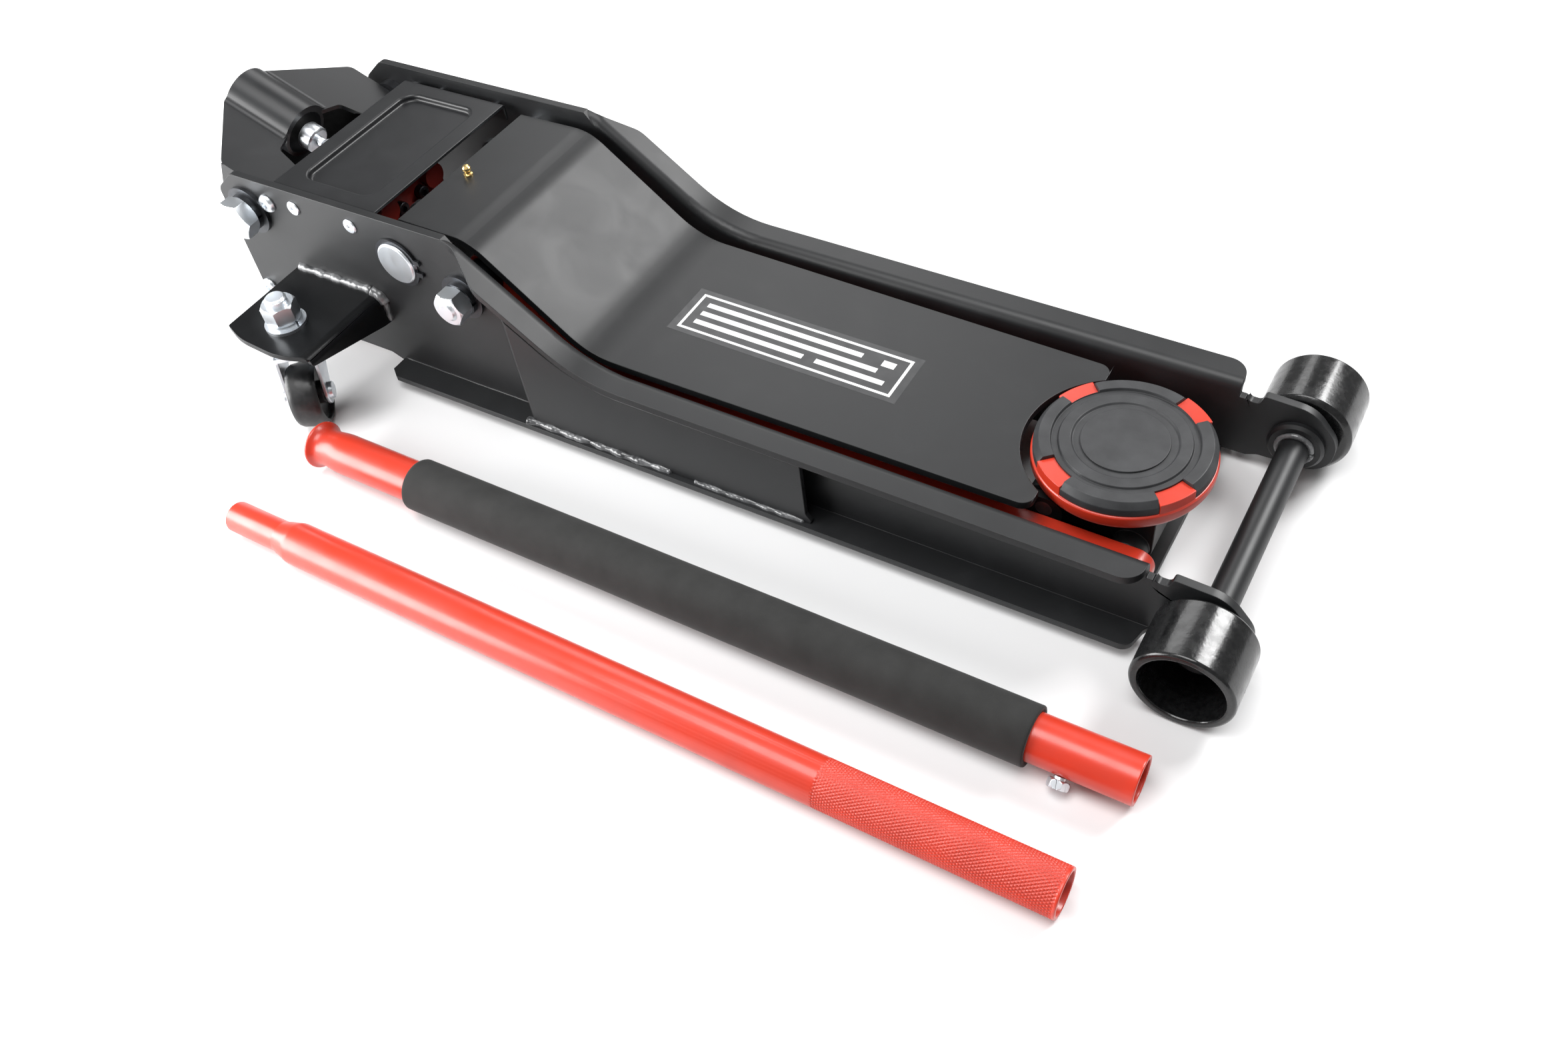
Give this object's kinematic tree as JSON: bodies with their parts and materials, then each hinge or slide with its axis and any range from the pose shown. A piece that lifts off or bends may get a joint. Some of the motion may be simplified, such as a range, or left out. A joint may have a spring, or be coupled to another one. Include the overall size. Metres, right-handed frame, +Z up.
{
  "type": "hydraulic floor jack",
  "caption": "Low-profile long-reach trolley jack: flanged side plates, S-bent lift arm with round padded saddle, casters behind, wheels in front and a two-piece handle laid beside it.",
  "frame": {"origin": "middle of the whole footprint (jack and both handle halves) at floor level", "axes": "+X forward towards the saddle and front wheels, +Y to the left side, +Z up"},
  "size_m": [0.886, 0.4708, 0.1789],
  "materials": {
    "black_plate": "satin black powder coat",
    "black_cover": "satin black powder coat, smoother",
    "gloss_casting": "gloss black paint over a turned casting",
    "red_enamel": "gloss red enamel",
    "unit_red": "dark red primer paint",
    "zinc": "bright zinc plate",
    "black_oxide": "black oxide steel",
    "brass": "bright brass",
    "pad_rubber": "moulded black rubber",
    "caster_tread": "hard black wheel compound",
    "foam": "matte charcoal foam",
    "steel": "ground steel"
  },
  "bodies": {
    "frame": {"left_side_plate": "black_plate", "right_side_plate": "black_plate", "left_channel_stiffener": "black_plate", "right_channel_stiffener": "black_plate", "front_cross_plate": "black_plate", "front_axle": "black_plate", "front_wheel_clips": "black_oxide", "rear_spacer_bar": "black_plate", "left_caster_bracket": "black_plate", "right_caster_bracket": "black_plate", "caster_stem_bolts": "zinc", "pivot_washers": "zinc", "tool_tray_cover": "black_cover", "tray_screws": "zinc", "frame_screws": "zinc", "spacer_screws": "zinc", "lift_arm_shaft": "zinc", "shaft_circlips": "black_oxide", "link_pivot_bolts": "zinc", "yoke_pivot_bolts": "zinc", "power_unit_block": "unit_red", "ram_cylinder": "unit_red", "cylinder_gland_nut": "black_oxide", "pump_barrel": "steel", "oil_filler_plug": "zinc", "block_screws": "black_oxide", "return_springs": "steel", "plunger_spring": "steel"},
    "ram": {"ram_rod": "steel", "ram_piston": "steel", "ram_crosshead": "steel"},
    "pump": {"pump_plunger": "steel"},
    "release_valve": {"release_valve_spindle": "zinc"},
    "lift_arm": {"lift_arm_top_plate": "black_plate", "lift_arm_left_cheek": "black_plate", "lift_arm_right_cheek": "black_plate", "lift_arm_pivot_tube": "black_plate", "lift_arm_ram_pin": "steel", "grease_nipple": "brass", "saddle_bracket_pin": "steel"},
    "radius_links": {"left_radius_link": "red_enamel", "right_radius_link": "red_enamel"},
    "saddle_mount": {"saddle_bracket": "black_plate", "link_front_pin": "steel"},
    "saddle": {"saddle_cup": "red_enamel", "saddle_pad": "pad_rubber"},
    "yoke": {"yoke_cover": "black_cover", "handle_socket_tube": "black_cover", "plunger_roller": "steel"},
    "coupling": {"release_coupling": "zinc"},
    "left_wheel": {"left_front_wheel": "gloss_casting"},
    "right_wheel": {"right_front_wheel": "gloss_casting"},
    "left_swivel": {"left_caster_fork": "zinc"},
    "right_swivel": {"right_caster_fork": "zinc"},
    "left_caster": {"left_caster_wheel": "caster_tread"},
    "right_caster": {"right_caster_wheel": "caster_tread"},
    "lower_handle": {"lower_handle_tube": "red_enamel", "foam_sleeve": "foam", "handle_lock_bolt": "zinc"},
    "upper_handle": {"upper_handle_tube": "red_enamel"}
  },
  "joints": [
    {"name": "lift_arm_hinge", "type": "hinge", "parent": "frame", "child": "lift_arm", "pos_m": [-0.20454, 0.0581, 0.121], "axis": [0, -1, 0], "range_deg": [0, 54]},
    {"name": "radius_link_hinge", "type": "hinge", "parent": "frame", "child": "radius_links", "pos_m": [-0.14654, 0.0581, 0.108], "axis": [0, -1, 0], "range_deg": [0, 54]},
    {"name": "saddle_mount_hinge", "type": "hinge", "parent": "lift_arm", "child": "saddle_mount", "pos_m": [0.28546, 0.0581, 0.039], "axis": [0, -1, 0], "range_deg": [-54, 0]},
    {"name": "saddle_spin", "type": "hinge", "parent": "saddle_mount", "child": "saddle", "pos_m": [0.32006, 0.0581, 0.06], "axis": [0, 0, 1], "continuous": true},
    {"name": "ram_slide", "type": "slide", "parent": "frame", "child": "ram", "axis": [1, 0, 0], "range_m": [0, 0.0553], "deforming": ["return_springs"]},
    {"name": "yoke_hinge", "type": "hinge", "parent": "frame", "child": "yoke", "pos_m": [-0.35654, 0.0581, 0.126], "axis": [0, 1, 0], "range_deg": [0, 58]},
    {"name": "pump_slide", "type": "slide", "parent": "frame", "child": "pump", "axis": [-1, 0, 0], "range_m": [0, 0.01746], "deforming": ["plunger_spring"]},
    {"name": "release_turn", "type": "hinge", "parent": "yoke", "child": "coupling", "pos_m": [-0.35654, 0.0581, 0.126], "axis": [0.9323, 0, -0.3616], "range_deg": [-180, 0]},
    {"name": "release_valve_turn", "type": "hinge", "parent": "frame", "child": "release_valve", "pos_m": [-0.35654, 0.0581, 0.126], "axis": [1, 0, 0], "range_deg": [-180, 0]},
    {"name": "left_wheel_spin", "type": "hinge", "parent": "frame", "child": "left_wheel", "pos_m": [0.41066, 0.1741, 0.0323], "axis": [0, 1, 0], "continuous": true},
    {"name": "right_wheel_spin", "type": "hinge", "parent": "frame", "child": "right_wheel", "pos_m": [0.41066, -0.0579, 0.0323], "axis": [0, 1, 0], "continuous": true},
    {"name": "left_caster_swivel", "type": "hinge", "parent": "frame", "child": "left_swivel", "pos_m": [-0.28654, 0.2041, 0.06], "axis": [0, 0, 1], "continuous": true},
    {"name": "right_caster_swivel", "type": "hinge", "parent": "frame", "child": "right_swivel", "pos_m": [-0.28654, -0.0879, 0.06], "axis": [0, 0, 1], "continuous": true},
    {"name": "left_caster_spin", "type": "hinge", "parent": "left_swivel", "child": "left_caster", "pos_m": [-0.27272, 0.18763, 0.0255], "axis": [0.766, 0.6428, 0], "continuous": true},
    {"name": "right_caster_spin", "type": "hinge", "parent": "right_swivel", "child": "right_caster", "pos_m": [-0.27272, -0.10437, 0.0255], "axis": [0.766, 0.6428, 0], "continuous": true},
    {"name": "lower_handle_lift", "type": "slide", "parent": "frame", "child": "lower_handle", "axis": [0, 0, 1], "range_m": [0, 0.5]},
    {"name": "upper_handle_lift", "type": "slide", "parent": "frame", "child": "upper_handle", "axis": [0, 0, 1], "range_m": [0, 0.5]}
  ],
  "couplings": [
    {"joint": "radius_link_hinge", "follows": "lift_arm_hinge", "ratio": 1},
    {"joint": "saddle_mount_hinge", "follows": "lift_arm_hinge", "ratio": -1},
    {"joint": "ram_slide", "follows": "lift_arm_hinge", "m_per_rad": 0.05867},
    {"joint": "pump_slide", "follows": "yoke_hinge", "m_per_rad": 0.01724},
    {"joint": "release_turn", "follows": "release_valve_turn", "ratio": 1}
  ]
}
